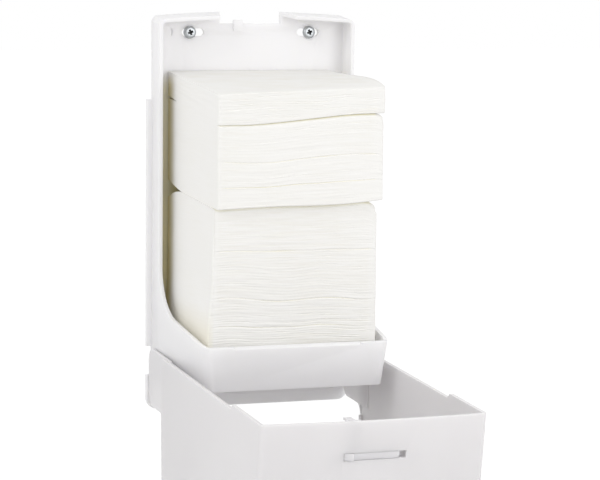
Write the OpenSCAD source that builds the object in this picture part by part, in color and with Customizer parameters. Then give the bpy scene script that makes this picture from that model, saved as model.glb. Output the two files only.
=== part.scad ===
// Wall dispenser for interfolded toilet paper, shown open with its refill in place.
// X runs to the right, the wall is the plane Y = 0 and the part stands out towards -Y, Z is up.
// The origin lies on the wall at the height of the hinge axis.

/* [Back plate] */
// Width over the two side flanges
plate_w = 140; // [134:1:146]
// How far the flat strips beside the flanges stand out past the closed cover
strip_reveal = 0.1; // [0:0.05:1]
// Thickness of the base against the wall
base_t = 3.2; // [2.4:0.1:3.8]
// Height of the arched top edge above the hinge axis
plate_top = 239.5; // [225:0.5:260]
// Depth of the base below the hinge axis
plate_drop = 34; // [26:1:44]
// Height at which the side strips end
strip_top = 180; // [150:1:200]
// Half height of the gap that the strips leave at the hinge
strip_gap = 10; // [9.8:0.1:14]
// Corner radius at the foot of the base
foot_r = 7.5; // [3:0.5:14]
// Corner radius at the top of the plate
top_corner_r = 5; // [3.5:0.5:9]
// Radius of the arch across the top
arch_r = 840; // [500:10:1500]
// Depth of the flange that stands out from the wall
flange_d = 20.5; // [19:0.1:21.5]
// Wall thickness of the flange, the cheeks and the tray
flange_t = 2.5; // [1.8:0.1:3]
// Downward slope of the top flange in degrees
flange_slope = 6; // [3:0.5:9]
// Width of the latch notch at the wall
notch_w = 43; // [41:0.5:48]
// How much wider the notch is on each side at the flange's front
notch_flare = 6; // [4.5:0.5:9]
// Depth of the notch below the top edge
notch_d = 8.2; // [7.4:0.1:12]

/* [Wall fixing] */
// Spacing of the wall slots
slot_span = 83; // [76:1:92]
// Height of the upper slots below the top edge
slot_drop = 14.2; // [13:0.2:22]
// Height of the lower slots above the hinge axis
low_slot_z = 60; // [45:1:120]
// Slot length from end to end
slot_len = 16; // [12:0.5:20]
// Slot width
slot_w = 5.2; // [4.8:0.1:6]
// Head diameter of a wall screw
screw_head_d = 8.6; // [7:0.1:10]
// Head height of a wall screw
screw_head_h = 3; // [2:0.1:4]
// Shank diameter of a wall screw
screw_d = 4.4; // [3.5:0.1:4.6]
// Place of the left screw from the middle of its slot
left_screw_shift = -2.5; // [-5:0.1:5]
// Place of the right screw from the middle of its slot
right_screw_shift = 0.5; // [-5:0.1:5]

/* [Tray] */
// Distance of the tray's front from the wall
tray_front = 110; // [108:0.5:112]
// Height of the tray's front rim above the hinge axis
tray_rim = 23.3; // [18:0.1:26]
// Inward taper of each cheek from the flange to the tray's front, at the rim
tray_taper = 5.8; // [3:0.1:8]
// Inward lean of the tray's sides for each millimetre of height
tray_lean = 0.125; // [0:0.005:0.15]
// Depth of the tray's front below the hinge axis
tray_front_drop = 6; // [4:0.5:10]
// Depth of the tray's back below the hinge axis
tray_back_drop = 12; // [10:0.5:18]
// Corner radius of the tray in plan
tray_corner_r = 5; // [4:0.5:10]
// Set-back of the tray's front at its foot
tray_setback = 3; // [0:0.5:6]
// Slope of the cheeks' upper edge in degrees
cheek_slope = 9.6; // [6:0.2:12]
// Radius between the flange and the cheek
cheek_r = 34; // [20:1:40]
// Width of the bevelled lip on the front rim
lip_w = 88; // [60:1:100]
// Height of the bevelled lip
lip_h = 3; // [1.5:0.1:5]
// Width of the mouth that the paper leaves by
mouth_w = 84; // [60:1:96]
// Depth of the mouth from front to back
mouth_d = 44; // [30:1:50]
// Distance of the mouth's middle from the wall
mouth_f = 55; // [50:1:60]
// Height of the rim around the mouth
mouth_rim_h = 2; // [1:0.1:4]
// Wall of the rim around the mouth
mouth_rim_t = 2; // [1.4:0.1:3]

/* [Hinge] */
// Distance of the hinge axis from the wall
hinge_f = 12.7; // [12:0.1:14]
// Diameter of a hinge stub
stub_d = 6; // [5:0.1:7]
// Radial play of a stub in its bore
stub_play = 0.06; // [0.02:0.01:0.1]
// How far a stub stands out inside the cheek
stub_over = 1.8; // [1:0.1:3]
// Angle from closed to open in degrees
open_angle = 93; // [88:1:98]
// Gap between the ear's heel and the strip that stops it
stop_gap = 0.3; // [0.2:0.05:0.6]
// Side play between an ear and the cheek
side_play = 0.35; // [0.3:0.05:0.6]
// Thickness of an ear
ear_t = 1.9; // [1.6:0.1:2.2]
// Distance of an ear's front edge from the wall when closed
ear_front = 43; // [40:0.5:46]
// Set-back of an ear's outer face from the cover's side
ear_inset = 1.35; // [1:0.05:1.6]
// Corner radius of an ear
ear_r = 12; // [6:0.5:14]
// Radius between an ear and the cover's lower edge
ear_fillet_r = 7; // [3:0.5:10]

/* [Cover] */
// Wall thickness of the cover
cover_wall = 2.5; // [1.8:0.1:2.7]
// Depth of the closed cover from the wall, at its foot
cover_d = 118; // [115:0.5:130]
// Gap between the closed cover and the strips or the wall
rim_gap = 0.8; // [0.5:0.1:1.2]
// Gap between the closed cover and the plate's top
top_gap = 1.2; // [0.8:0.1:2]
// Height of the cover's lower edge above the hinge axis, at the ears
skirt_z = 28; // [26:0.5:30]
// Rise of the lower edge towards the front in degrees
skirt_slope = 5; // [3:0.5:9]
// Inward lip along the lower edge
skirt_lip = 2; // [1:0.1:2.2]
// Thickness of that lip
skirt_lip_t = 2; // [1.4:0.1:3]
// Backward lean of the front face in degrees
front_lean = 2; // [0:0.5:2.5]
// Radius of the upright front edges
front_edge_r = 13; // [6:0.5:20]
// Radius between the front face and the top
crown_r = 26; // [12:1:40]
// Radius along the sides of the top
cover_edge_r = 3.6; // [2.8:0.1:6]
// Length of the ramp where the rear rim steps back past the strips
rim_ramp = 3.4; // [2:0.1:6]

/* [Lock] */
// Length of the window for the slide
window_l = 40.4; // [39:0.2:42]
// Width of the window
window_w = 4.8; // [4.4:0.1:5.4]
// Distance of the window's middle from the wall
window_f = 23; // [22.4:0.1:24]
// Length of the thumb ramp at the slide's left end
ramp_l = 5.8; // [4:0.1:8]
// Height of the thumb ramp
ramp_h = 1.3; // [0.8:0.1:2]
// Lean of the ramp's steep face over its height
ramp_lean = 0.3; // [0.1:0.05:0.6]
// Travel of the slide between open and locked
slide_travel = 4.5; // [4:0.1:5]
// Play around the slide in its window
slide_play = 0.25; // [0.15:0.05:0.4]
// Overlap of the slide's carrier past the window's sides
carrier_lap = 1.8; // [1.4:0.1:2.2]
// Thickness of the slide's carrier
carrier_t = 1.8; // [1.4:0.1:2.4]
// Gap between the carrier and what guides it
carrier_gap = 0.5; // [0.4:0.05:0.7]
// Width of the slide's hook
hook_w = 5.2; // [4.6:0.1:5.6]
// Thickness of the slide's hook
hook_t = 1.4; // [1.2:0.05:1.5]
// Width of the catch on the plate
catch_w = 6.5; // [5:0.1:8]
// Middle of the catch, to the left of the centre line
catch_x = 9.5; // [8.5:0.1:10]
// Height of the catch above the notch
catch_h = 2.6; // [2:0.1:3]
// Thickness of the catch from front to back
catch_t = 2.7; // [2:0.1:3.5]
// Gap between the hook and the wall
hook_wall_gap = 0.3; // [0.2:0.05:0.5]
// Gap between hook and catch
catch_gap = 0.4; // [0.3:0.05:0.5]
// Thickness of the retainer behind the slide
retainer_t = 1.6; // [1.2:0.1:2.2]
// Width of the retainer
retainer_w = 6.4; // [6.2:0.1:7]
// Gap between the retainer and the top flange when closed
retainer_gap = 0.9; // [0.7:0.05:1.2]
// Diameter of the retainer's screw posts
post_d = 6; // [5:0.1:6.4]
// Shank diameter of a retainer screw
lock_screw_d = 2.5; // [2.2:0.1:2.9]
// Head diameter of a retainer screw
lock_head_d = 4.8; // [4:0.1:5.4]
// Head height of a retainer screw
lock_head_h = 1.6; // [1:0.1:2]
// Radial play of a retainer screw in its post
lock_screw_play = 0.05; // [0.02:0.01:0.1]

/* [Paper] */
// Width of a pack
pack_w = 114; // [104:0.5:114.5]
// Gap between the lower pack and the tray's front, at the rim
pack_front_gap = 9; // [6.5:0.1:18]
// How far the packs above it stand out past the lower pack
upper_reach = 6; // [0:0.5:8]
// Height of the lower pack's top at the back
lower_top = 121; // [90:1:124]
// Height of the middle pack at the back
middle_h = 60.5; // [40:0.5:62]
// Height of the top pack at the back
top_h = 17; // [12:0.5:22]
// How far the top of the lower pack falls from the back to the stack's front
lower_fall = 8.4; // [0:0.2:12]
// How far the top of the middle pack falls
middle_fall = 11; // [0:0.5:14]
// How far the top of the stack falls
top_fall = 9; // [0:0.5:14]
// Gap between a pack and what it lies on
pack_gap = 0.3; // [0.2:0.05:0.5]
// Sideways place of the lower pack
lower_shift = 0.8; // [-1:0.1:1]
// Sideways place of the packs above it
upper_shift = 2.2; // [-3:0.1:3]
// Height of a bundle of folds that shows on a pack's front
fold_h = 4.6; // [3:0.1:8]
// How far the folds' round backs stand out
fold_bulge = 0.9; // [0.3:0.1:1.5]

/* [Hidden] */
$fn = 64;
// Facet count of the wide arch
arch_fn = 720;
// Reach of cutting shapes past what they cut
over = 1;
far = 400;
// How far a rounding stands past the faces it joins, so that they cross and don't just touch
blend = 0.02;
shell_white = [0.93, 0.93, 0.94];
paper_white = [0.95, 0.945, 0.92];
zinc = [0.62, 0.63, 0.64];

cover_w = plate_w + 2 * (side_play + ear_t + ear_inset);
strip_w = cover_w + 2 * strip_reveal;
tray_w = plate_w - 2 * tray_taper;
hub_r = hinge_f - base_t - stop_gap;
rim_low = base_t + rim_gap;
step_z = strip_top + rim_gap;
notch_z = plate_top - notch_d;
upper_slot_z = plate_top - slot_drop;
ear_x = plate_w / 2 + side_play;
catch_back = hook_wall_gap + hook_t + catch_gap;
slide_l = window_l - slide_travel - 2 * slide_play;
slide_x = slide_play - window_l / 2;
slide_top = top_gap + cover_wall - slide_play;
hook_x = -catch_x - catch_w / 2 - hook_w - catch_gap;
carrier_z = top_gap - carrier_gap - carrier_t;
post_x = window_l / 2 + carrier_lap + post_d;
post_f = flange_d + retainer_gap + retainer_w / 2;
retainer_z = carrier_z - carrier_gap;
floor_gap = flange_t + pack_gap;
pack_d = tray_front - flange_t - pack_front_gap - base_t - pack_gap;
upper_pack_d = pack_d + upper_reach;

// Draws a profile given as [distance from the wall, height] and extrudes it across from x0 to x1.
module across(x0, x1) {
    translate([x1, 0, 0]) rotate([90, 0, -90]) linear_extrude(x1 - x0) children();
}

// Draws a profile given as [x, height] and extrudes it from f0 to f1 in front of the wall.
module ahead(f0, f1) {
    translate([0, -f0, 0]) rotate([90, 0, 0]) linear_extrude(f1 - f0) children();
}

// A block between two distances from the wall.
module block(x0, x1, f0, f1, z0, z1) {
    translate([x0, -f1, z0]) cube([x1 - x0, f1 - f0, z1 - z0]);
}

// Tips what it holds so that it follows the slope of the plate's top.
module on_top() {
    translate([0, 0, plate_top]) rotate([flange_slope, 0, 0]) children();
}

// Swings the closed cover and what it carries to the open rest position.
module swung_open() {
    translate([0, -hinge_f, 0]) rotate([open_angle, 0, 0]) translate([0, hinge_f, 0]) children();
}

module both_sides() {
    children();
    mirror([1, 0, 0]) children();
}

// Disc whose upper edge is the arch across the top; heights are from the plate's top edge.
module arch_disc(top, arch) {
    translate([0, top - arch]) circle(arch, $fn = arch_fn);
}

// What a rounded corner between the arch and the right side takes away.
module arch_corner(half_w, top, r, arch) {
    from_arch = arch - r + blend;
    c = [half_w - r + blend, top - arch + sqrt(pow(from_arch, 2) - pow(half_w - r + blend, 2))];
    towards_arch = (c - [0, top - arch]) / from_arch;
    difference() {
        polygon([c, c + 2 * r * towards_arch, c + [3 * r, 2 * r], c + [3 * r, 0]]);
        translate(c) circle(r);
    }
}

module stadium(l, w) {
    square([l - w, w], center = true);
    for (s = [-1, 1]) translate([s * (l - w) / 2, 0]) circle(w / 2);
}

// Form of the flange and the base above the tray, taken in by i.
module plate_tub(i, f0, f1) {
    difference() {
        intersection() {
            block(i - plate_w / 2, plate_w / 2 - i, f0, f1, i - tray_back_drop, far);
            on_top() ahead(-far / 4, far / 4) arch_disc(-i, arch_r - i);
        }
        on_top() both_sides() ahead(-far / 4, far / 4)
            arch_corner(plate_w / 2 - i, -i, top_corner_r - i, arch_r - i);
    }
}

// Base against the wall, with the strips beside the flanges and the gap at the hinge.
module base_outline() {
    difference() {
        union() {
            translate([-strip_w / 2, foot_r - plate_drop]) square([strip_w, strip_top + plate_drop - foot_r]);
            translate([foot_r - strip_w / 2, -plate_drop]) square([strip_w - 2 * foot_r, 2 * foot_r]);
            for (s = [-1, 1]) translate([s * (strip_w / 2 - foot_r), foot_r - plate_drop]) circle(foot_r);
        }
        for (s = [-1, 1]) translate([s * (plate_w + far) / 2, 0]) square([far, 2 * strip_gap], center = true);
    }
}

// Side view of the cheeks: the flange, its fillet and the edge that falls to the tray's rim.
function cheek_z(f) = tray_rim + (tray_front - f) * tan(cheek_slope);
module cheek_profile() {
    fillet_f = flange_d + cheek_r;
    fillet_z = cheek_z(fillet_f) + cheek_r / cos(cheek_slope);
    toe = [fillet_f - cheek_r * sin(cheek_slope), fillet_z - cheek_r * cos(cheek_slope)];
    difference() {
        polygon([[-over, -far], [tray_front + over, -far],
            [tray_front + over, cheek_z(tray_front + over)], toe,
            [fillet_f, fillet_z], [flange_d, fillet_z], [flange_d, far], [-over, far]]);
        translate([fillet_f, fillet_z]) circle(cheek_r, $fn = 4 * $fn);
    }
}

// Form of the tray, taken in by i; its upper side is cut by the cheek profile.
module tray_form(i) {
    height = tray_rim + tray_front_drop;
    r = tray_corner_r - i;
    foot_x = tray_w / 2 - tray_lean * height - tray_corner_r;
    head_x = tray_w / 2 + tray_lean * tray_corner_r - tray_corner_r;
    hull() {
        block(i - plate_w / 2, plate_w / 2 - i, i > 0 ? base_t : 0, flange_d,
            i - tray_back_drop, 2 * cheek_r);
        for (s = [-1, 1]) {
            translate([s * head_x, tray_corner_r - tray_front, tray_rim + tray_corner_r])
                cylinder(r = r, h = over / 10, $fn = 32);
            translate([s * foot_x, tray_corner_r + tray_setback - tray_front, i - tray_front_drop])
                cylinder(r = r, h = over / 10, $fn = 32);
        }
    }
}

module wall_slots(z) {
    for (s = [-1, 1]) ahead(-over, base_t + over) translate([s * slot_span / 2, z]) stadium(slot_len, slot_w);
}

module mouth(grow, z0, z1) {
    translate([0, -mouth_f, z0]) linear_extrude(z1 - z0) stadium(mouth_w + 2 * grow, mouth_d + 2 * grow);
}

// Height of the tray's underside at a distance from the wall.
function floor_z(f) = -tray_back_drop
    + max(0, f - flange_d) * (tray_back_drop - tray_front_drop)
    / (tray_front - tray_setback - tray_corner_r - flange_d);

// Notch for the lock, wider at the flange's front than at the wall.
module latch_notch() {
    flare = notch_flare / flange_d;
    translate([0, 0, notch_z]) linear_extrude(far) polygon([for (p = [[-1, -over], [1, -over],
        [1, flange_d + over], [-1, flange_d + over]]) [p[0] * (notch_w / 2 + p[1] * flare), -p[1]]]);
}

module back_plate() {
    color(shell_white) difference() {
        union() {
            ahead(0, base_t) base_outline();
            difference() {
                intersection() {
                    union() {
                        plate_tub(0, 0, flange_d);
                        tray_form(0);
                        mouth(mouth_rim_t, floor_z(mouth_f - mouth_d / 2) - mouth_rim_h, 0);
                    }
                    across(-far, far) cheek_profile();
                }
                plate_tub(flange_t, base_t, flange_d + over);
                tray_form(flange_t);
            }
        }
        latch_notch();
        wall_slots(upper_slot_z);
        wall_slots(low_slot_z);
        mouth(0, -far / 4, 0);
        // Bevelled lip along the middle of the front rim
        across(-lip_w / 2, lip_w / 2) polygon([[tray_front - flange_t, cheek_z(tray_front) + lip_h / 8],
            [tray_front + over, cheek_z(tray_front) + lip_h],
            [tray_front + over, cheek_z(tray_front) - lip_h]]);
        // Bores for the hinge stubs
        translate([0, -hinge_f, 0]) rotate([0, 90, 0])
            cylinder(d = stub_d + 2 * stub_play, h = far, center = true);
    }
    // Catch for the lock, on the notch's edge
    color(shell_white) block(-catch_x - catch_w / 2, -catch_x + catch_w / 2, catch_back, catch_back + catch_t,
        notch_z - 2 * catch_h, notch_z + catch_h);
}

// Side view of the closed cover, taken in by i: leaning front, round crown and sloping top.
module cover_profile(i, skirt) {
    top = [0, plate_top + (top_gap + cover_wall - i + 2 * blend) / cos(flange_slope)];
    foot = [cover_d - i / cos(front_lean), skirt_z];
    r = crown_r - i;
    up = [sin(flange_slope), cos(flange_slope)];
    out = [cos(front_lean), sin(front_lean)];
    // Centre of the crown, one radius inside both the top and the front
    t = top * up - r;
    f = foot * out - r;
    det = up[0] * out[1] - up[1] * out[0];
    crown = [(t * out[1] - up[1] * f) / det, (up[0] * f - t * out[0]) / det];
    skirt_rise = tan(skirt_slope);
    function skirt_at(a) = skirt + max(0, a - ear_front) * skirt_rise;
    front_foot = [foot[0] - (skirt_at(foot[0]) - skirt_z) * tan(front_lean), skirt_at(foot[0])];
    polygon([[-far / 8, skirt], [ear_front, skirt], front_foot, crown + r * out, crown, crown + r * up,
        top, top + far / 8 * [-cos(flange_slope), sin(flange_slope)]]);
    translate(crown) circle(r, $fn = 2 * $fn);
}

// Closed cover as a solid form, taken in by i, with its arched top and rounded edges.
module cover_form(i, skirt) {
    half_w = cover_w / 2 - i;
    top = top_gap + cover_wall - i;
    edge_r = front_edge_r - i;
    difference() {
        intersection() {
            across(-half_w, half_w) cover_profile(i, skirt);
            on_top() ahead(-far / 4, far) arch_disc(top, arch_r);
        }
        on_top() both_sides() ahead(-far / 4, far)
            arch_corner(half_w, top, max(over, cover_edge_r - i), arch_r);
        translate([0, 0, skirt_z]) rotate([-front_lean, 0, 0]) both_sides()
            translate([half_w - edge_r + blend, edge_r - blend + i - cover_d * cos(front_lean), -far])
                linear_extrude(2 * far) difference() {
                    translate([0, -2 * edge_r]) square(2 * edge_r);
                    circle(edge_r);
                }
    }
}

// Side view of an ear, with the hub around the hinge axis and the heel that stops on the strip.
module ear_profile() {
    difference() {
        union() {
            translate([hinge_f, 0]) circle(hub_r);
            translate([hinge_f - hub_r, 0]) square([ear_front - hinge_f + hub_r, skirt_z + 2 * ear_fillet_r]);
            translate([hinge_f, -hub_r]) square([ear_front - ear_r - hinge_f, hub_r + over]);
            translate([hinge_f, ear_r - hub_r]) square([ear_front - hinge_f, skirt_z]);
            translate([ear_front - ear_r, ear_r - hub_r]) circle(ear_r);
            difference() {
                translate([ear_front, skirt_z - ear_fillet_r]) square(ear_fillet_r);
                translate([ear_front + ear_fillet_r, skirt_z - ear_fillet_r]) circle(ear_fillet_r);
            }
        }
        translate([hinge_f, 0]) rotate(open_angle) translate([-far - hub_r, -far / 2]) square([far, far / 2]);
    }
}

module hinge_side() {
    across(ear_x, ear_x + ear_t) ear_profile();
    translate([plate_w / 2 - flange_t - stub_over, -hinge_f, 0]) rotate([0, 90, 0])
        cylinder(d = stub_d, h = flange_t + stub_over + side_play + ear_t / 2);
}

// Rear rim of the cover: in front of the strips below, back to the wall above them.
module rim_profile() {
    polygon([[-far, -far], [rim_low, -far], [rim_low, step_z], [rim_gap, step_z + rim_ramp],
        [rim_gap, far], [-far, far]]);
}

// A round pair beside the window, where the retainer is screwed on.
module posts(d, z0, z1) {
    for (s = [-1, 1]) translate([s * post_x, -post_f, z0]) cylinder(d = d, h = z1 - z0);
}

module window_block(x0, l, grow, z0, z1) {
    block(x0, x0 + l, window_f - window_w / 2 - grow, window_f + window_w / 2 + grow, z0, z1);
}

module cover() {
    color(shell_white) swung_open() {
        difference() {
            union() {
                difference() {
                    cover_form(0, skirt_z);
                    cover_form(cover_wall, skirt_z + skirt_lip_t);
                    cover_form(cover_wall + skirt_lip, -far);
                    // The ears stand clear of the lip
                    block(-cover_w / 2 + cover_wall, cover_w / 2 - cover_wall,
                        -far, ear_front + ear_fillet_r, 0, far / 4);
                    across(-far, far) rim_profile();
                }
                on_top() posts(post_d, retainer_z, top_gap + cover_wall / 2);
            }
            on_top() window_block(-window_l / 2, window_l, 0, -over, far / 8);
            on_top() posts(lock_screw_d + 2 * lock_screw_play, retainer_z - over, top_gap);
        }
        both_sides() hinge_side();
    }
}

// Slide in the cover's top: button with a thumb ramp in the window, carrier behind it, arm and hook.
module lock_slide() {
    color(shell_white) swung_open() {
        on_top() {
            ahead(window_f - window_w / 2 + slide_play, window_f + window_w / 2 - slide_play)
                translate([slide_x, 0]) polygon([[0, carrier_z + carrier_t / 2], [0, slide_top],
                    [ramp_l, slide_top + ramp_h], [ramp_l + ramp_lean, slide_top], [slide_l, slide_top],
                    [slide_l, carrier_z + carrier_t / 2]]);
            window_block(slide_x - carrier_lap, slide_l + 2 * carrier_lap, carrier_lap,
                carrier_z, carrier_z + carrier_t);
            block(hook_x - hook_t / 2, slide_x + 2 * hook_w, rim_gap, window_f,
                carrier_z, carrier_z + carrier_t);
        }
        block(hook_x, hook_x + hook_w, hook_wall_gap, hook_wall_gap + hook_t,
            notch_z + rim_gap, plate_top + carrier_z + carrier_t / 2);
    }
}

// Plate that holds the slide up against the cover.
module lock_retainer() {
    color(shell_white) swung_open() on_top() difference() {
        union() {
            block(-post_x, post_x, post_f - retainer_w / 2, post_f + retainer_w / 2,
                retainer_z - retainer_t, retainer_z);
            posts(retainer_w, retainer_z - retainer_t, retainer_z);
        }
        posts(lock_screw_d + 4 * lock_screw_play, -far / 8, far / 8);
    }
}

// Pan head and shank, revolved; the head stands on the plane z = 0 and the shank points down.
module pan_screw(head_d, head_h, shank_d, shank_l) {
    dome_r = head_h;
    rotate_extrude() {
        translate([0, -shank_l]) square([shank_d / 2, shank_l + head_h / 2]);
        square([head_d / 2, head_h / 2]);
        square([head_d / 2 - dome_r / 2, head_h]);
        translate([head_d / 2 - dome_r / 2, head_h / 2]) intersection() {
            circle(dome_r / 2);
            square(dome_r);
        }
    }
}

module lock_screws() {
    color(zinc) swung_open() on_top() for (s = [-1, 1])
        translate([s * post_x, -post_f, retainer_z - retainer_t]) rotate([180, 0, 0])
            pan_screw(lock_head_d, lock_head_h, lock_screw_d, retainer_t + carrier_t);
}

module wall_screws() {
    color(zinc) for (p = [[-slot_span / 2 + left_screw_shift], [slot_span / 2 + right_screw_shift]])
        translate([p[0], -base_t, upper_slot_z]) rotate([90, 0, 0])
            pan_screw(screw_head_d, screw_head_h, screw_d, base_t);
}

// Pack of folded sheets: the folds' round backs show as ripples down the front.
module pack(x, depth, low_back, low_front, high_back, high_front) {
    back = base_t + pack_gap;
    front = back + depth - fold_bulge;
    folds = round((high_front - low_front) / fold_h);
    steps = 6;
    ripple = [for (k = [0 : folds * steps]) let (u = k / (folds * steps))
        [front + fold_bulge * abs(sin(180 * k / steps)), low_front + u * (high_front - low_front)]];
    across(x - pack_w / 2, x + pack_w / 2) polygon(concat([[back, high_back], [back, low_back]], ripple));
}

module paper_pack_lower() {
    seat_f = base_t + pack_gap;
    color(paper_white) pack(lower_shift, pack_d,
        floor_z(flange_d) + floor_gap, floor_z(seat_f + pack_d) + floor_gap,
        lower_top, lower_top - lower_fall * pack_d / upper_pack_d);
}

module paper_pack_middle() {
    low = lower_top + pack_gap;
    high = low + middle_h;
    color(paper_white) pack(upper_shift, upper_pack_d, low, low - lower_fall, high, high - middle_fall);
}

module paper_pack_top() {
    low = lower_top + middle_h + 2 * pack_gap;
    high = low + top_h;
    color(paper_white) pack(upper_shift, upper_pack_d, low, low - middle_fall, high, high - top_fall);
}

back_plate();
cover();
lock_slide();
lock_retainer();
lock_screws();
wall_screws();
paper_pack_lower();
paper_pack_middle();
paper_pack_top();
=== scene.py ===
import bmesh
import bpy
import math
from mathutils import Matrix, Quaternion, Vector, noise


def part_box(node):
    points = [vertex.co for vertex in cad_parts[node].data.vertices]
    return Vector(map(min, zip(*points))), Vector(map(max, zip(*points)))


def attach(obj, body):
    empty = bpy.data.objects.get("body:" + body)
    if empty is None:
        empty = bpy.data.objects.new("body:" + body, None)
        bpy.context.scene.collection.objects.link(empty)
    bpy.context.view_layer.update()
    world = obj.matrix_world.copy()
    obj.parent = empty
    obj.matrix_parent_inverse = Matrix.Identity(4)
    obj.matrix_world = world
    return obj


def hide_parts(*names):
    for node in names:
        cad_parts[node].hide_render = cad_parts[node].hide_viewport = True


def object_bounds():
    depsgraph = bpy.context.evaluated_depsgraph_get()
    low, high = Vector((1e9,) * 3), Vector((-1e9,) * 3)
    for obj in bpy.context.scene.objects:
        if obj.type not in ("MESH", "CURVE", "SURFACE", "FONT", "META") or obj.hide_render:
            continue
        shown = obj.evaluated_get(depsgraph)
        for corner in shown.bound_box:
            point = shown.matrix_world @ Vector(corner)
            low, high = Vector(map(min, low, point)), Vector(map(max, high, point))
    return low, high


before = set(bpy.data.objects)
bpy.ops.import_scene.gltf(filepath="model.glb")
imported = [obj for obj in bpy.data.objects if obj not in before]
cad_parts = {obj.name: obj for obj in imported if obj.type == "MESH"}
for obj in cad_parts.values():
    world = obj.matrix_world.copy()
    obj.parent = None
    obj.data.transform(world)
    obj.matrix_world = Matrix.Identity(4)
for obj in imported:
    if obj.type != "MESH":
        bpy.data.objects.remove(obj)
cadLow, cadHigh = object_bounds()
scene = bpy.context.scene
mm = 0.001


def linear(hexColour):
    channels = [int(hexColour[i:i + 2], 16) / 255 for i in (1, 3, 5)]
    return [c / 12.92 if c <= 0.04045 else ((c + 0.055) / 1.055) ** 2.4 for c in channels] + [1.0]


def perMetre(sizeInMm):
    return 1000 / sizeInMm  # texture scale that gives features of this size


def addNode(owner, kind, inputs=None, **settings):
    tree = owner.node_tree
    node = tree.nodes.new(kind)
    for name, value in settings.items():
        setattr(node, name, value)
    for name, value in (inputs or {}).items():
        if isinstance(value, bpy.types.NodeSocket):
            tree.links.new(value, node.inputs[name])
        else:
            node.inputs[name].default_value = value
    return node


def newMaterial(name):
    material = bpy.data.materials.new(name)
    material.use_nodes = True
    material.node_tree.nodes.clear()
    return material


# What the ABS pieces share. Lengths are in mm, and each noise has its detail and roughness.
absLook = {
    "ior": 1.53, "milky": 0.8, "milkyDepth": 4, "milkyTint": (1.0, 1.0, 0.95),
    "noises": {"grain": (3.0, 0.6), "sink": (1.0, 0.5), "cloud": (4.0, 0.55)}}


# White ABS, injection moulded in a spark-eroded tool: a fine satin grain, broad soft highlights,
# and slow waves where the melt shrank behind thicker walls
def mouldedAbs(name, look):
    look = absLook | look
    material = newMaterial(name)
    place = addNode(material, "ShaderNodeTexCoord").outputs["Object"]
    grain, sink, cloud = [addNode(material, "ShaderNodeTexNoise", {
        "Vector": place, "Scale": perMetre(look[pattern]),
        "Detail": detail, "Roughness": uneven}).outputs["Fac"]
        for pattern, (detail, uneven) in look["noises"].items()]
    colour = addNode(material, "ShaderNodeMix", {
        "Factor": cloud, "A": linear(look["deep"]), "B": linear(look["pale"])},
        data_type="RGBA").outputs["Result"]
    if "gapShade" in look:
        # painted shade: an olive tint in the gaps beside the packs, at the plate's corners, where shade
        # falls
        at = addNode(material, "ShaderNodeSeparateXYZ", {"Vector": place})
        aside = addNode(material, "ShaderNodeMath", {0: at.outputs["X"]}, operation="ABSOLUTE").outputs[0]
        patchy = addNode(material, "ShaderNodeMapRange", {
            "Value": cloud, "To Min": look["gapShadeCover"][0], "To Max": look["gapShadeCover"][1]})
        gapShadeMask = patchy.outputs["Result"]
        for way, start, end in look["gapShadeBands"]:
            band = addNode(material, "ShaderNodeMapRange", {
                "Value": aside if way == "aside" else at.outputs[way],
                "From Min": start * mm, "From Max": end * mm}, interpolation_type="SMOOTHSTEP")
            gapShadeMask = addNode(material, "ShaderNodeMath", {
                0: gapShadeMask, 1: band.outputs["Result"]}, operation="MULTIPLY").outputs[0]
        colour = addNode(material, "ShaderNodeMix", {
            "Factor": gapShadeMask, "A": colour, "B": linear(look["gapShade"])}, data_type="RGBA").outputs["Result"]
    rough = addNode(material, "ShaderNodeMapRange", {
        "Value": grain, "To Min": look["rough"][0], "To Max": look["rough"][1]})
    waves = addNode(material, "ShaderNodeBump", {
        "Height": sink, "Distance": look["sinkDepth"] * mm, "Strength": 1.0})
    skin = addNode(material, "ShaderNodeBump", {
        "Height": grain, "Distance": look["grainDepth"] * mm, "Strength": 1.0,
        "Normal": waves.outputs["Normal"]})
    shader = addNode(material, "ShaderNodeBsdfPrincipled", {
        "Base Color": colour, "Roughness": rough.outputs["Result"], "IOR": look["ior"],
        "Subsurface Weight": look["milky"], "Subsurface Radius": look["milkyTint"],
        "Subsurface Scale": look["milkyDepth"] * mm, "Normal": skin.outputs["Normal"]})
    addNode(material, "ShaderNodeOutputMaterial", {"Surface": shader.outputs["BSDF"]})
    return material


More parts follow.
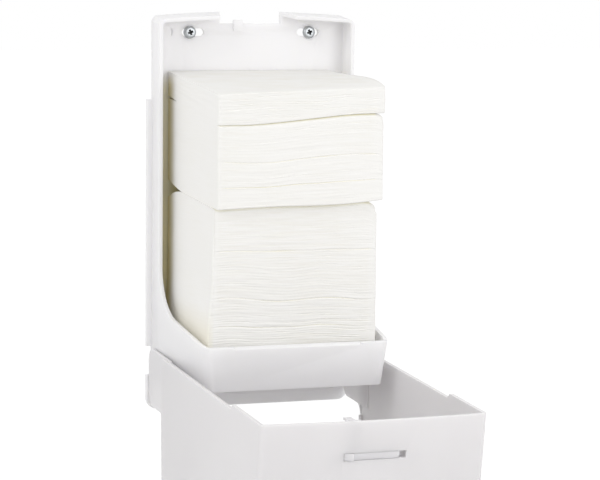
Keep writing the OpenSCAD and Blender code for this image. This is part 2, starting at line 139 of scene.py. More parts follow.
# Two-ply tissue, creped and folded: dull, warm white, with crepe ridges and the fine lines of the sheets
# in a stack. The real sheets are under half a millimetre thick, so the lines are drawn coarser to show.
def crepedTissue(name, look):
    material = newMaterial(name)
    place = addNode(material, "ShaderNodeTexCoord").outputs["Object"]
    run, thick = perMetre(look["lineRun"]), perMetre(look["sheet"])
    layers = addNode(material, "ShaderNodeMapping", {"Vector": place, "Scale": (run, run, thick)})
    sheets, crepe, cloud, patch = [addNode(material, "ShaderNodeTexNoise", {
        "Vector": vector, "Scale": scale, "Detail": detail, "Roughness": uneven}).outputs["Fac"]
        for vector, scale, (detail, uneven) in (
            (layers.outputs["Vector"], 1.0, look["sheetNoise"]),
            (place, perMetre(look["crepe"]), look["crepeNoise"]),
            (place, perMetre(look["cloud"]), look["cloudNoise"]),
            (place, perMetre(look["patch"]), look["patchNoise"]))]
    at = addNode(material, "ShaderNodeSeparateXYZ", {"Vector": place})
    aside = addNode(material, "ShaderNodeMath", {0: at.outputs["X"]}, operation="ABSOLUTE").outputs[0]
    # the lines show in patches on the front; the cut sides are pressed smooth
    front = addNode(material, "ShaderNodeMapRange", {
        "Value": aside, "From Min": look["smoothSide"][1] * mm, "From Max": look["smoothSide"][0] * mm,
        "To Min": look["sideLines"], "To Max": 1.0})
    patchy = addNode(material, "ShaderNodeMapRange", {
        "Value": patch, "From Min": look["patchShare"][0], "From Max": look["patchShare"][1],
        "To Min": look["patchLines"][0], "To Max": look["patchLines"][1]})
    shown = addNode(material, "ShaderNodeMath", {
        0: front.outputs["Result"], 1: patchy.outputs["Result"]}, operation="MULTIPLY").outputs[0]
    height = addNode(material, "ShaderNodeMath", {0: sheets, 1: shown}, operation="MULTIPLY").outputs[0]
    # painted shade: the lines between the sheets are drawn in a darker colour, standing in for the shade in
    # the seams
    lines = addNode(material, "ShaderNodeMapRange", {
        "Value": sheets, "From Min": look["lineShare"][0], "From Max": look["lineShare"][1]})
    lines = addNode(material, "ShaderNodeMix", {"Factor": shown, "A": 1.0, "B": lines.outputs["Result"]})
    tint = addNode(material, "ShaderNodeMix", {
        "Factor": cloud, "A": linear(look["warm"]), "B": linear(look["pale"])}, data_type="RGBA")
    lined = addNode(material, "ShaderNodeMix", {
        "Factor": lines.outputs["Result"], "A": linear(look["line"]), "B": tint.outputs["Result"]},
        data_type="RGBA")
    # painted shade: the back corners, next to the wall where the flanges shade them, are darkened to a tan
    # colour, further out low in the tray
    further = addNode(material, "ShaderNodeMapRange", {
        "Value": at.outputs["Z"], "From Min": look["tanFoot"][0] * mm, "From Max": look["tanFoot"][1] * mm,
        "To Max": look["tanFurther"] * mm}, interpolation_type="SMOOTHSTEP")
    fromWall = addNode(material, "ShaderNodeMath", {0: at.outputs["Y"], 1: further.outputs["Result"]})
    backs, edges, below = [addNode(material, "ShaderNodeMapRange", {
        "Value": value, "From Min": start * mm, "From Max": end * mm},
        interpolation_type="SMOOTHSTEP").outputs["Result"]
        for value, (start, end) in (
            (fromWall.outputs[0], look["tanFromWall"]), (aside, look["tanAside"]),
            (at.outputs["Z"], look["tanHead"]))]
    corners = addNode(material, "ShaderNodeMath", {0: backs, 1: edges}, operation="MULTIPLY")
    corners = addNode(material, "ShaderNodeMath", {0: corners.outputs[0], 1: below}, operation="MULTIPLY")
    paintedLight = addNode(material, "ShaderNodeMix", {
        "Factor": corners.outputs[0], "A": lined.outputs["Result"], "B": linear(look["tan"])},
        data_type="RGBA")
    # light that has bounced about between sheets comes out warmer and paler
    openness = addNode(material, "ShaderNodeAmbientOcclusion", {
        "Distance": look["crevice"] * mm}, samples=look["creviceRays"])
    bare = addNode(material, "ShaderNodeMapRange", {
        "Value": openness.outputs["AO"],
        "From Min": look["creviceShare"][0], "From Max": look["creviceShare"][1]})
    pressed = addNode(material, "ShaderNodeMapRange", {
        "Value": aside, "From Min": look["pressedSide"][0] * mm, "From Max": look["pressedSide"][1] * mm})
    bare = addNode(material, "ShaderNodeMath", {
        0: bare.outputs["Result"], 1: pressed.outputs["Result"]}, operation="MAXIMUM")
    paintedLight = addNode(material, "ShaderNodeMix", {
        "Factor": bare.outputs[0], "A": linear(look["inside"]), "B": paintedLight.outputs["Result"]},
        data_type="RGBA")
    # painted shade: the cut sides are tinted warmer and darker where they stand in the tray's shade
    foot = addNode(material, "ShaderNodeMapRange", {
        "Value": at.outputs["Z"],
        "From Min": look["trayShadeFoot"][0] * mm, "From Max": look["trayShadeFoot"][1] * mm},
        interpolation_type="SMOOTHSTEP")
    fromMiddle = addNode(material, "ShaderNodeMath", {0: at.outputs["X"], 1: -look["trayShadeMiddle"] * mm})
    fromMiddle = addNode(material, "ShaderNodeMath", {0: fromMiddle.outputs[0]}, operation="ABSOLUTE")
    lowSide = addNode(material, "ShaderNodeMapRange", {
        "Value": fromMiddle.outputs[0],
        "From Min": look["trayShadeSide"][0] * mm, "From Max": look["trayShadeSide"][1] * mm})
    foot = addNode(material, "ShaderNodeMath", {
        0: foot.outputs["Result"], 1: lowSide.outputs["Result"]}, operation="MULTIPLY")
    trayShaded = addNode(material, "ShaderNodeMix", {
        "Factor": 1.0, "A": paintedLight.outputs["Result"], "B": linear(look["trayShade"])},
        data_type="RGBA", blend_type="MULTIPLY")
    paintedLight = addNode(material, "ShaderNodeMix", {
        "Factor": foot.outputs[0], "A": paintedLight.outputs["Result"], "B": trayShaded.outputs["Result"]},
        data_type="RGBA")
    ridges = addNode(material, "ShaderNodeBump", {
        "Height": height, "Distance": look["lineDepth"] * mm, "Strength": 1.0})
    fibre = addNode(material, "ShaderNodeBump", {
        "Height": crepe, "Distance": look["crepeDepth"] * mm, "Strength": 1.0,
        "Normal": ridges.outputs["Normal"]})
    shader = addNode(material, "ShaderNodeBsdfPrincipled", {
        "Base Color": paintedLight.outputs["Result"], "Roughness": look["rough"], "IOR": look["ior"],
        "Specular IOR Level": look["gloss"], "Sheen Weight": look["fuzz"],
        "Sheen Roughness": look["fuzzRough"], "Normal": fibre.outputs["Normal"]})
    addNode(material, "ShaderNodeOutputMaterial", {"Surface": shader.outputs["BSDF"]})
    return material


zincLook = {"hazeDetail": 4.0, "dentStrength": 0.5}


# Steel, bright zinc plated and tumbled: grey metal with a soft bluish haze and small dents
def zincPlate(name, look):
    look = zincLook | look
    material = newMaterial(name)
    place = addNode(material, "ShaderNodeTexCoord").outputs["Object"]
    haze = addNode(material, "ShaderNodeTexNoise", {
        "Vector": place, "Scale": perMetre(look["haze"]), "Detail": look["hazeDetail"]}).outputs["Fac"]
    dents = addNode(material, "ShaderNodeTexVoronoi", {"Vector": place, "Scale": perMetre(look["dent"])})
    tint = addNode(material, "ShaderNodeMix", {
        "Factor": haze, "A": linear(look["dull"]), "B": linear(look["bright"])}, data_type="RGBA")
    rough = addNode(material, "ShaderNodeMapRange", {
        "Value": haze, "To Min": look["rough"][0], "To Max": look["rough"][1]})
    bump = addNode(material, "ShaderNodeBump", {
        "Height": dents.outputs["Distance"], "Distance": look["dentDepth"] * mm,
        "Strength": look["dentStrength"]})
    shader = addNode(material, "ShaderNodeBsdfPrincipled", {
        "Base Color": tint.outputs["Result"], "Metallic": 1.0, "Roughness": rough.outputs["Result"],
        "Normal": bump.outputs["Normal"]})
    addNode(material, "ShaderNodeOutputMaterial", {"Surface": shader.outputs["BSDF"]})
    return material


# the olive colour given for the gaps beside the paper packs is painted shade
shellAbs = mouldedAbs("white moulded ABS", {
    "pale": "#f0eff0", "deep": "#ecebec", "rough": (0.36, 0.5), "grain": 0.9, "grainDepth": 0.02,
    "sink": 34, "sinkDepth": 0.12, "cloud": 70, "gapShade": "#dad4b0", "gapShadeCover": (0.7, 1.0),
    "gapShadeBands": [("aside", 40, 48), ("aside", 68, 67.4), ("Y", -19, -8), ("Y", -1.5, -3),
                  ("Z", 10, 60), ("Z", 330, 40), ("Z", 200, 186)]})
# painted shade: the cover is given a greyer colour than the plate, standing in for the shade on its
# down-facing front
shadedCoverAbs = mouldedAbs("white moulded ABS greyed as painted shade", {
    "pale": "#e2e0e1", "deep": "#dedcdd", "rough": (0.38, 0.52), "grain": 0.9, "grainDepth": 0.02,
    "sink": 34, "sinkDepth": 0.1, "cloud": 80})
# painted shade: the lock is given the cover's greyer colour
shadedLockAbs = mouldedAbs("lock ABS greyed as painted shade", {
    "pale": "#e2e0e2", "deep": "#dfdddf", "rough": (0.38, 0.5), "grain": 0.7, "grainDepth": 0.015,
    "sink": 15, "sinkDepth": 0.05, "cloud": 30})
tissue = crepedTissue("warm white creped tissue", {
    "pale": "#f5f4f2", "warm": "#f3f2ee", "cloud": 24, "cloudNoise": (2.0, 0.5),
    "rough": 0.92, "ior": 1.45, "gloss": 0.2, "fuzz": 0.12, "fuzzRough": 0.6,
    "crepe": 1.6, "crepeNoise": (4.0, 0.65), "crepeDepth": 0.06,
    # the line colour of the sheet seams is painted shade
    "line": "#f0eee8", "sheet": 1.1, "sheetNoise": (2.0, 0.6), "lineRun": 26, "lineDepth": 0.035,
    "lineShare": (0.3, 0.62), "smoothSide": (51, 53.5), "sideLines": 0.3,
    "patch": 60, "patchNoise": (1.0, 0.5), "patchShare": (0.35, 0.65), "patchLines": (0.3, 1.2),
    # the tan colour of the back corners is painted shade
    "tan": "#ddd0a0", "tanFromWall": (-20, -5), "tanAside": (45, 51), "tanHead": (199, 188),
    "tanFoot": (64, 36), "tanFurther": 4,
    "inside": "#faf7e4", "crevice": 5, "creviceRays": 8, "creviceShare": (0.25, 0.7),
    "pressedSide": (54.5, 55.3),
    # the tray tint of the cut sides is painted shade
    "trayShade": "#fdfaef", "trayShadeFoot": (52, 26), "trayShadeMiddle": 1.4, "trayShadeSide": (56, 60.5)})
zinc = zincPlate("bright zinc plated steel", {
    "bright": "#c3c6c8", "dull": "#9da1a4", "rough": (0.28, 0.42),
    "haze": 2.4, "dent": 0.8, "dentDepth": 0.03})
# painted shade: the same plating made dark and dull inside the cross recess, where shade falls
recessShadeZinc = zincPlate("zinc plated steel darkened as painted recess shade", {
    "bright": "#6b6c6c", "dull": "#3f4040", "rough": (0.55, 0.7),
    "haze": 1.2, "dent": 0.5, "dentDepth": 0.02})
print("materials:", len(bpy.data.materials))


def addPiece(name, bm, body, material, slot, *nodes):
    mesh = bpy.data.meshes.new(name)
    bm.to_mesh(mesh)
    bm.free()
    piece = bpy.data.objects.new(name, mesh)
    scene.collection.objects.link(piece)
    mesh.materials.append(material)
    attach(piece, body)
    if nodes:
        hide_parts(*nodes)
    return piece


cadWeld = 0.002 * mm  # corners of a CAD mesh nearer than this are one


def mergedCopy(node, flatAngle):
    bm = bmesh.new()
    bm.from_mesh(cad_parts[node].data)
    bmesh.ops.remove_doubles(bm, verts=bm.verts, dist=cadWeld)
    bmesh.ops.dissolve_limit(bm, angle_limit=math.radians(flatAngle), verts=bm.verts, edges=bm.edges)
    return bm


# degrees under which faces are joined, and over which edges are eased
mouldingLook = {"flat": 0.05, "sharp": 28}


# A moulding is its solid with every edge eased, as a polished tool leaves it
def moulding(name, node, body, material, slot, look):
    piece = addPiece(name, mergedCopy(node, mouldingLook["flat"]), body, material, slot, node)
    piece.data.shade_smooth()
    ease = piece.modifiers.new("eased edges", "BEVEL")
    ease.width = look["edge"] * mm
    ease.segments = look["segments"]
    ease.limit_method = "ANGLE"
    ease.angle_limit = math.radians(mouldingLook["sharp"])
    ease.harden_normals = True
    ease.use_clamp_overlap = True


moulding("backPlate", "back_plate", "plate", shellAbs, "shell", {"edge": 0.5, "segments": 3})
moulding("coverShell", "cover", "cover", shadedCoverAbs, "shell", {"edge": 0.25, "segments": 3})
moulding("lockSlide", "lock_slide", "lock", shadedLockAbs, "lock", {"edge": 0.12, "segments": 2})
moulding("lockRetainer", "lock_retainer", "cover", shadedLockAbs, "lock", {"edge": 0.3, "segments": 2})
print("mouldings: plate, cover, slide and retainer")


def smooth(value, start, end):
    t = min(max((value - start) / (end - start), 0), 1)
    return t * t * (3 - 2 * t)


def quarter(distance, radius):
    t = min(max(1 - distance / radius, 0), 1)  # how far a rounded edge falls back at this distance from it
    return radius * (1 - math.sqrt(1 - t * t))


# A pack is a block of folded sheets. Rows of the mesh follow the sheets: each bundle bulges a little,
# the seams between bundles are drawn in, and the whole stack waves and tilts as loaded by hand.
# Lengths are in mm. A name in Run, Step, Across or Tall stretches a noise, and one in Seed moves it.
packLook = {
    "width": 114, "wall": 3.5, "reach": 101, "backRound": 1.2, "frontRound": 1.3, "sharp": 60,
    "across": 56, "deep": 26,  # cuts in the mesh
    "drawn": (1, 0.14, 0, 0.14),  # how much of a seam's depth each row of a bundle takes
    "vary": 0.85, "varyStep": 1.7, "varySeed": 0.3,
    "waveFrom": 0.5, "uneven": 1.1, "unevenAcross": 4.4, "unevenTall": 8, "unevenSeed": 9,
    "seamRun": 16, "seamStep": 3.1, "seamGain": 2.4, "seamFade": 0.75, "openSteady": 0.45,
    "cornerSeam": 0.3, "cornerBand": 0.05,
    "restless": 0.22, "restlessRun": 28, "restlessStep": 2.3, "restlessSeed": 5,
    "sideBand": 0.001, "inset": 0.3, "sideWave": 0.3, "sideRun": 45, "sideTall": 7,
    "sideShoulder": 0.4, "leanFrom": 0.7}


def paperPack(name, node, look):
    look = packLook | look
    low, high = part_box(node)
    left, right, back, front = low.x / mm, high.x / mm, -high.y / mm, -low.y / mm
    bundles, rows, seed = look["bundles"], len(look["drawn"]), look["seed"]
    bm = bmesh.new()
    bmesh.ops.create_cube(bm, size=1)
    for axis, cuts in ((0, look["across"]), (1, look["deep"]), (2, rows * bundles - 1)):
        along = [e for e in bm.edges if abs((e.verts[0].co - e.verts[1].co).normalized()[axis]) > 0.9]
        bmesh.ops.subdivide_edges(bm, edges=along, cuts=cuts, use_grid_fill=True)
    # bundle heights differ, and so do the seams between them
    share = [1 + look["vary"] * noise.noise((k * look["varyStep"], seed, look["varySeed"]))
             for k in range(bundles)]
    edges = [sum(share[:k]) / sum(share) for k in range(bundles + 1)]
    opened = {round(place * bundles): extra for place, extra in look["open"]}
    for v in bm.verts:
        # columns crowd towards the corners, where the shape turns
        sx, sf = [0.5 - 0.5 * math.cos(math.pi * (s + 0.5)) for s in (v.co.x, -v.co.y)]
        row = round((v.co.z + 0.5) * rows * bundles)
        k = min(row // rows, bundles - 1)
        u = row / rows - k
        h = edges[k] + u * (edges[k + 1] - edges[k])
        f = back + sf * (front - back)
        t = (f - look["wall"]) / look["reach"]
        bottom, top = look["bottom"](sx, t, f - back), look["top"](sx, t, f - back)
        uneven = look["uneven"] * math.sin(math.pi * h) * noise.noise(
            (sx * look["unevenAcross"], h * bundles / look["unevenTall"], seed + look["unevenSeed"]))
        z = bottom + (top - bottom) * h + (look["wave"](sx, h) + uneven) * smooth(sf, look["waveFrom"], 1)
        fallBack = quarter(f - back, look["backRound"]) + quarter(front - f, look["frontRound"])
        x = left + fallBack + sx * (right + look["wider"] - left - 2 * fallBack) - look["skew"] * (1 - t)
        if "spread" in look:  # sheets low in the tray have slid out to the left
            x -= look["spread"] * (1 - sx) * smooth(h, *look["spreadHead"]) * smooth(h, *look["spreadFoot"])
        seam = k if u < 0.5 else k + 1
        run = 0.5 + 0.5 * noise.noise((x / look["seamRun"], seam * look["seamStep"], seed))
        seamDepth = look["seam"][0] + (look["seam"][1] - look["seam"][0]) * h
        steady, corner = look["openSteady"], look["cornerSeam"]
        depth = seamDepth * max(0, look["seamGain"] * run - look["seamFade"])
        depth += opened.get(seam, 0) * (steady + (1 - steady) * run)
        depth *= corner + (1 - corner) * smooth(min(sx, 1 - sx), 0, look["cornerBand"])
        shoulder = sum(deep / tall * quarter(distance * (top - bottom), tall)
                       for distance, (tall, deep) in ((1 - h, look["head"]), (h, look["foot"])))
        restless = look["restless"] * noise.noise(
            (x / look["restlessRun"], k * look["restlessStep"], seed + look["restlessSeed"]))
        loose = depth * look["drawn"][row % rows] + restless + shoulder
        f = back + (f - back) * (1 - loose / (front - back))
        side = -1 if sx < look["sideBand"] else 1 if sx > 1 - look["sideBand"] else 0
        if side:
            ripple = look["sideWave"] * math.sin(math.pi * h) * noise.noise(
                (f / look["sideRun"], h * look["sideTall"], seed + side))
            leaning = look["leanIn"] * t * smooth(h, look["leanFrom"], 1)
            inwards = look["sideShoulder"] * shoulder if side > 0 else leaning
            x -= side * max(0, look["inset"] + ripple + inwards)
        v.co = (x * mm, -f * mm, z * mm)
    bmesh.ops.recalc_face_normals(bm, faces=bm.faces)
    piece = addPiece(name, bm, "plate", tissue, "tissue", node)
    piece.data.shade_smooth()
    piece.data.set_sharp_from_angle(angle=math.radians(look["sharp"]))


# Heights in mm of the splits between packs. A place is sx across, 0 left to 1 right, and t outwards,
# 0 at the wall to 1 at the stack's front. A pack's faces also go by f, in mm from its back, and its
# waves by h, 0 at its foot to 1 at its head.
splitLook = {
    "lower": {"atWall": 121.2, "fall": 8.0, "rise": 4.2, "bend": 1.6, "sway": 0.7},
    "upper": {"atWall": 182, "fall": 14, "rise": 6.6, "riseBand": (0.1, 0.95)},
    "pressed": 0.1, "lipSharp": 100}


def lowerSplit(sx, t):
    look = splitLook["lower"]
    rise = look["rise"] * sx ** look["bend"] + look["sway"] * math.sin(math.tau * sx)
    return look["atWall"] + (rise - look["fall"]) * t


def upperSplit(sx, t):
    look = splitLook["upper"]
    return look["atWall"] + (look["rise"] * smooth(sx, *look["riseBand"]) - look["fall"]) * t


# How far a pack's face stands off its split: near the wall, and at the front lip, which opens to the right
def gape(sx, t, f, back, lip=(0, 0, 1)):
    deep, reach, bend = back
    atLeft, toRight, end = lip
    opening = (atLeft + toRight * sx) * math.exp(-splitLook["lipSharp"] * max(0, end - t))
    return opening + deep * max(0, 1 - f / reach) ** bend


def droop(sx, share, radius):
    return share * quarter((1 - sx) * packLook["width"], radius)  # a corner that hangs at the right


paperPack("lowerPack", "paper_pack_lower", {
    "bundles": 70, "seed": 3.1, "seam": (0.42, 0.14), "open": [(0.737, 0.8), (0.48, 0.7), (0.33, 0.4)],
    "skew": 3.4, "leanIn": 1.3, "wider": 1.2, "head": (3.0, 2.0), "foot": (0.3, 0.3),
    "spread": 3.2, "spreadHead": (0.62, 0.22), "spreadFoot": (0, 0.18),
    "bottom": lambda sx, t, f: -9.2 + 6.2 * t,  # the tray's floor rises to the front
    "top": lambda sx, t, f: lowerSplit(sx, t) + splitLook["pressed"] - gape(
        sx, t, f, (9, 33, 1.9), (0.3, 0.4, 0.94)),
    "wave": lambda sx, h: math.sin(math.pi * h) ** 2 * (
        0.9 * math.cos(math.tau * (sx - 0.68) / 0.56) - 4 * (sx - 0.5)) - droop(sx, 0.65, 13) * h ** 6})
paperPack("middlePack", "paper_pack_middle", {
    "bundles": 33, "seed": 8.4, "seam": (0.2, 0.16), "open": [(0.54, 0.7), (0.233, 0.9)],
    "skew": 4.8, "leanIn": 0, "wider": 1.4, "head": (3.0, 1.1), "foot": (1.2, 0.6),
    "bottom": lambda sx, t, f: lowerSplit(sx, t) + gape(sx, t, f, (4.5, 31, 1.4)),
    "top": lambda sx, t, f: upperSplit(sx, t) + splitLook["pressed"] - droop(sx, 0.5, 7) - gape(
        sx, t, f, (1.7, 22, 1.3), (0.2, 0.9, 1)),
    "wave": lambda sx, h: math.sin(math.pi * h) * (-1.2 * math.sin(math.tau * sx) - 1.5 * sx)})
paperPack("topPack", "paper_pack_top", {
    "bundles": 14, "seed": 5.7, "seam": (0.3, 0.3), "open": [],
    "skew": 4.8, "leanIn": 0, "wider": 2.4, "head": (1.6, 1.6), "foot": (1.6, 0.6),
    "bottom": lambda sx, t, f: upperSplit(sx, t) + gape(sx, t, f, (0.9, 22, 1.3), (0.05, 0.3, 1)),
    "top": lambda sx, t, f: (  # domed towards the right
        199.1 + (4.0 * sx - 10.5) * t + 7.5 * sx ** 3 * t ** 2 * (1 - t ** 4)),
    "wave": lambda sx, h: 0.6 * math.sin(math.pi * h) * math.sin(math.tau * sx)})
print("paper: three packs")

# A pan head screw with a cross recess, set where a solid of the node is. Most values are shares of the
# head's radius or height; chamfer, below and weld are in mm, and turn, flat and sharp in degrees.
screwLook = {
    "steps": 40, "seatIn": 0.97, "brim": 0.12, "straight": 0.38, "crownSteps": 6, "crownFlat": 0.5,
    "chamfer": 0.25, "below": 0.1, "core": 0.3, "weld": 0.001, "flat": 0.01, "sharp": 35,
    "wing": 0.62, "slotWidth": 0.2, "recess": 0.8, "taper": (0.45, 0.8, 1), "turn": 20}


sortWay = Vector((1.0, 2.7, 7.3))  # no two corners of a screw or mark are level along it


# A spin leaves its mesh in another order each run, and the cuts follow that order
def inOrder(bm):
    bm.verts.sort(key=lambda v: v.co.dot(sortWay))
    bm.faces.sort(key=lambda face: face.calc_center_median().dot(sortWay))


def crossScrews(name, node, body, towardsHead):
    look = screwLook
    straight, chamfer = look["straight"], look["chamfer"] * mm
    found = mergedCopy(node, look["flat"])
    axis = Vector(towardsHead).normalized()
    turn = Vector((0, 0, 1)).rotation_difference(axis).to_matrix().to_4x4()
    pending = dict.fromkeys(found.verts)  # keeps the mesh's order, so that each run gives the same screws
    bm = bmesh.new()
    cutters = [bmesh.new(), bmesh.new()]
    while pending:
        island = [pending.popitem()[0]]
        for v in island:
            for e in v.link_edges:
                other = e.other_vert(v)
                if other in pending:
                    del pending[other]
                    island.append(other)
        heights = [v.co @ axis for v in island]
        centre = sum((v.co for v in island), Vector()) / len(island)
        flat = [(v.co - centre) - axis * ((v.co - centre) @ axis) for v in island]
        middle = centre - axis * (centre @ axis)
        headR = max(p.length for p in flat)
        top, tail = max(heights), min(heights)
        seat = min(h for h, p in zip(heights, flat) if p.length > look["seatIn"] * headR)
        headH = top - seat
        shankR = min(p.length for p, h in zip(flat, heights)
                     if h < seat - look["below"] * mm and p.length > look["core"] * headR)
        outline = [(0, tail), (shankR - chamfer, tail), (shankR, tail + chamfer), (shankR, seat),
                   (headR * look["seatIn"], seat), (headR, seat + look["brim"] * headH),
                   (headR, seat + straight * headH)]
        for step in range(1, look["crownSteps"]):
            a = math.radians(90 * step / look["crownSteps"])
            outline.append((headR * (1 - straight + straight * math.cos(a)),
                            seat + headH * (straight + (1 - straight) * math.sin(a))))
        outline += [(headR * look["crownFlat"], top), (0, top)]
        verts = [bm.verts.new((r, 0, h)) for r, h in outline]
        made = [bm.edges.new(pair) for pair in zip(verts, verts[1:])]
        bmesh.ops.spin(bm, geom=verts + made, axis=(0, 0, 1), cent=(0, 0, 0), angle=math.tau,
                       steps=look["steps"], use_merge=True)
        ours = [v for v in bm.verts if not v.tag]
        bmesh.ops.transform(bm, matrix=Matrix.Translation(middle) @ turn, verts=ours)
        for v in bm.verts:
            v.tag = True
        for wing, cutter in enumerate(cutters):
            made = bmesh.ops.create_cube(cutter, size=1)["verts"]
            size = (headR * 2 * look["wing"], headR * 2 * look["slotWidth"], headH * 2 * look["recess"])
            bmesh.ops.scale(cutter, vec=size, verts=made)
            foot = [v for v in made if v.co.z < 0]
            bmesh.ops.scale(cutter, vec=look["taper"], verts=foot)
            turned = Matrix.Rotation(math.radians(look["turn"] + 90 * wing), 4, "Z")
            place = Matrix.Translation(middle) @ turn @ Matrix.Translation((0, 0, top)) @ turned
            bmesh.ops.transform(cutter, matrix=place, verts=made)
    found.free()
    bmesh.ops.remove_doubles(bm, verts=bm.verts, dist=look["weld"] * mm)
    bmesh.ops.recalc_face_normals(bm, faces=bm.faces)
    inOrder(bm)
    piece = addPiece(name, bm, body, zinc, "screws", node)
    tools = []
    for cutter in cutters:
        bmesh.ops.recalc_face_normals(cutter, faces=cutter.faces)
        tool = bpy.data.objects.new("recess", bpy.data.meshes.new("recess"))
        cutter.to_mesh(tool.data)
        cutter.free()
        # the recess faces take the darker zinc, which is painted shade
        tool.data.materials.append(recessShadeZinc)
        scene.collection.objects.link(tool)
        cut = piece.modifiers.new("cross recess", "BOOLEAN")
        cut.object = tool
        cut.solver = "EXACT"
        cut.material_mode = "TRANSFER"
        tools.append(tool)
    bpy.context.view_layer.update()
    shaped = bpy.data.meshes.new_from_object(piece.evaluated_get(bpy.context.evaluated_depsgraph_get()))
    piece.modifiers.clear()
    piece.data = shaped
    for tool in tools:
        bpy.data.objects.remove(tool)
    piece.data.shade_smooth()
    piece.data.set_sharp_from_angle(angle=math.radians(look["sharp"]))


crossScrews("wallScrews", "wall_screws", "plate", (0, -1, 0))
coverOpen = {"swing": 93, "topSlope": 6}  # degrees that the cover has turned, and that its top slopes
openTilt = math.radians(coverOpen["swing"] + coverOpen["topSlope"])
crossScrews("lockScrews", "lock_screws", "cover", (0, math.sin(openTilt), -math.cos(openTilt)))
print("screws: wall and lock")

# Small curved mark raised on the panel beside the left slot
mark = {"x": -56.2, "z": 225.6, "radius": 5.5, "half": 26, "thick": 0.35, "front": 3.2,
        "segments": 10, "steps": 14}


def mouldMark():
    middle = (0, 0, 0)
    upright = Matrix.Rotation(math.pi / 2, 3, "X")
    bm = bmesh.new()
    ring = bmesh.ops.create_circle(
        bm, cap_ends=False, radius=mark["thick"] * mm, segments=mark["segments"])["verts"]
    bmesh.ops.rotate(bm, verts=ring, cent=middle, matrix=upright)
    bmesh.ops.translate(bm, verts=ring, vec=(mark["radius"] * mm, 0, 0))
    sweep = math.radians(2 * mark["half"])
    bmesh.ops.rotate(bm, verts=ring, cent=middle, matrix=Matrix.Rotation(-sweep / 2, 3, "Z"))
    bmesh.ops.spin(bm, geom=list(bm.verts) + list(bm.edges), axis=(0, 0, 1), cent=middle,
                   angle=sweep, steps=mark["steps"])
    bmesh.ops.holes_fill(bm, edges=[e for e in bm.edges if e.is_boundary])
    bmesh.ops.rotate(bm, verts=bm.verts, cent=middle, matrix=upright)
    shift = Vector((mark["x"] - mark["radius"], -mark["front"], mark["z"])) * mm
    bmesh.ops.translate(bm, verts=bm.verts, vec=shift)
    bmesh.ops.recalc_face_normals(bm, faces=bm.faces)
    inOrder(bm)
    piece = addPiece("mouldMark", bm, "plate", shellAbs, "shell")
    piece.data.shade_smooth()


mouldMark()
print("mark: one")

# Camera as fitted to the photograph, whose frame is 600 by 480; clip is in metres
shot = {"target": (17.59, -60.0, 87.07), "yaw": -19.23, "pitch": 6.36, "roll": 0.54, "distance": 1687.95,
        "focalPixels": 2499.0, "frameWidth": 600, "sensor": 36, "clip": (0.05, 60)}


def addCamera():
    data = bpy.data.cameras.new("camera")
    data.sensor_fit = "HORIZONTAL"
    data.sensor_width = shot["sensor"]
    data.lens = shot["focalPixels"] * data.sensor_width / shot["frameWidth"]
    data.clip_start, data.clip_end = shot["clip"]
    camera = bpy.data.objects.new("camera", data)
    scene.collection.objects.link(camera)
    yaw, pitch = math.radians(shot["yaw"]), math.radians(shot["pitch"])
    back = Vector((math.sin(yaw) * math.cos(pitch), -math.cos(yaw) * math.cos(pitch), math.sin(pitch)))
    camera.location = Vector(shot["target"]) * mm + back * shot["distance"] * mm
    camera.rotation_mode = "QUATERNION"
    level = (-back).to_track_quat("-Z", "Y")
    camera.rotation_quaternion = level @ Quaternion((0, 0, 1), math.radians(shot["roll"]))
    scene.camera = camera


addCamera()


# 1 where a ray comes from the camera, straight or by way of metal or glass
def seenRays(owner):
    rays = addNode(owner, "ShaderNodeLightPath")
    seen = rays.outputs["Is Camera Ray"]
    for ray in ("Is Glossy Ray", "Is Transmission Ray"):
        either = addNode(owner, "ShaderNodeMath", {0: seen, 1: rays.outputs[ray]}, operation="MAXIMUM")
        seen = either.outputs[0]
    return seen


# Pale floor, white to the camera but for the shadow on it, which can be seen through from below.
# It is 40 m across, and drop is in mm under the object.
floorLook = {"drop": 420, "size": 40, "colour": "#f6f6f6", "shadow": 0.2, "white": 1.13}


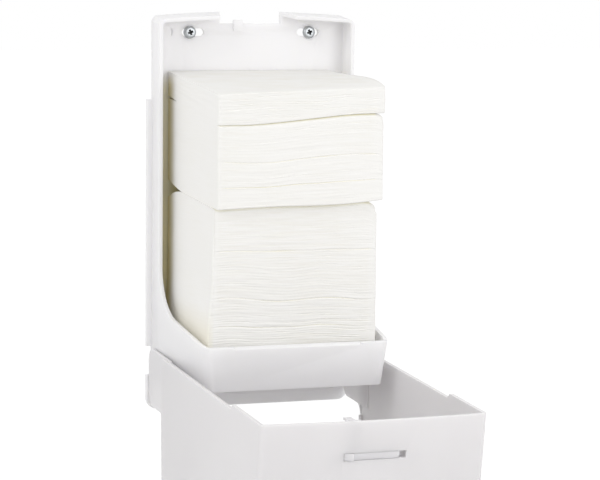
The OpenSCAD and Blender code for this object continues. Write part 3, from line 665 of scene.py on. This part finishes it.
def addFloor():
    bm = bmesh.new()
    bmesh.ops.create_grid(bm, x_segments=1, y_segments=1, size=floorLook["size"] / 2)
    bmesh.ops.translate(bm, verts=bm.verts, vec=(0, 0, cadLow.z - floorLook["drop"] * mm))
    mesh = bpy.data.meshes.new("floor")
    bm.to_mesh(mesh)
    bm.free()
    floor = bpy.data.objects.new("floor", mesh)
    scene.collection.objects.link(floor)
    material = newMaterial("pale studio floor")
    paint = addNode(material, "ShaderNodeBsdfDiffuse", {"Color": linear(floorLook["colour"])})
    # makes up for the paint's share, so that the open floor is plain white
    white = addNode(material, "ShaderNodeEmission", {"Color": (1, 1, 1, 1), "Strength": floorLook["white"]})
    clear = addNode(material, "ShaderNodeBsdfTransparent")
    lit = addNode(material, "ShaderNodeMath", {
        0: seenRays(material), 1: 1 - floorLook["shadow"]}, operation="MULTIPLY")
    top = addNode(material, "ShaderNodeMixShader", {
        0: lit.outputs[0], 1: paint.outputs[0], 2: white.outputs[0]})
    side = addNode(material, "ShaderNodeNewGeometry").outputs["Backfacing"]
    both = addNode(material, "ShaderNodeMixShader", {0: side, 1: top.outputs[0], 2: clear.outputs[0]})
    addNode(material, "ShaderNodeOutputMaterial", {"Surface": both.outputs[0]})
    mesh.materials.append(material)


addFloor()

# Soft studio light: an even white room, a near softbox in front on the right, and a broad one far off
# and high on the left. Places and sizes are in mm, and spreads in degrees.
lightLook = {
    "room": 0.8, "aim": (0, -90, 50),
    "lamps": {
        "near softbox": {"at": (260, -780, 230), "size": 500, "watts": 0.27, "spread": 70},
        "left softbox": {"at": (-1600, -700, 1150), "size": 1400, "watts": 8, "spread": 180}}}


def addLights():
    world = bpy.data.worlds.new("white room")
    scene.world = world
    world.use_nodes = True
    world.node_tree.nodes.clear()
    strength = addNode(world, "ShaderNodeMapRange", {
        "Value": seenRays(world), "To Min": lightLook["room"], "To Max": 1.0})
    room = addNode(world, "ShaderNodeBackground", {
        "Color": (1, 1, 1, 1), "Strength": strength.outputs["Result"]})
    addNode(world, "ShaderNodeOutputWorld", {"Surface": room.outputs[0]})
    aim = Vector(lightLook["aim"]) * mm
    for name, lamp in lightLook["lamps"].items():
        data = bpy.data.lights.new(name, "AREA")
        data.shape = "DISK"
        data.size = lamp["size"] * mm
        data.energy = lamp["watts"]
        data.spread = math.radians(lamp["spread"])
        light = bpy.data.objects.new(name, data)
        light.location = Vector(lamp["at"]) * mm
        light.rotation_mode = "QUATERNION"
        light.rotation_quaternion = (aim - light.location).to_track_quat("-Z", "Y")
        light.visible_camera = False
        scene.collection.objects.link(light)


addLights()
scene.view_settings.view_transform = "Standard"
print("stage: camera, floor and", len(lightLook["lamps"]), "lamps")
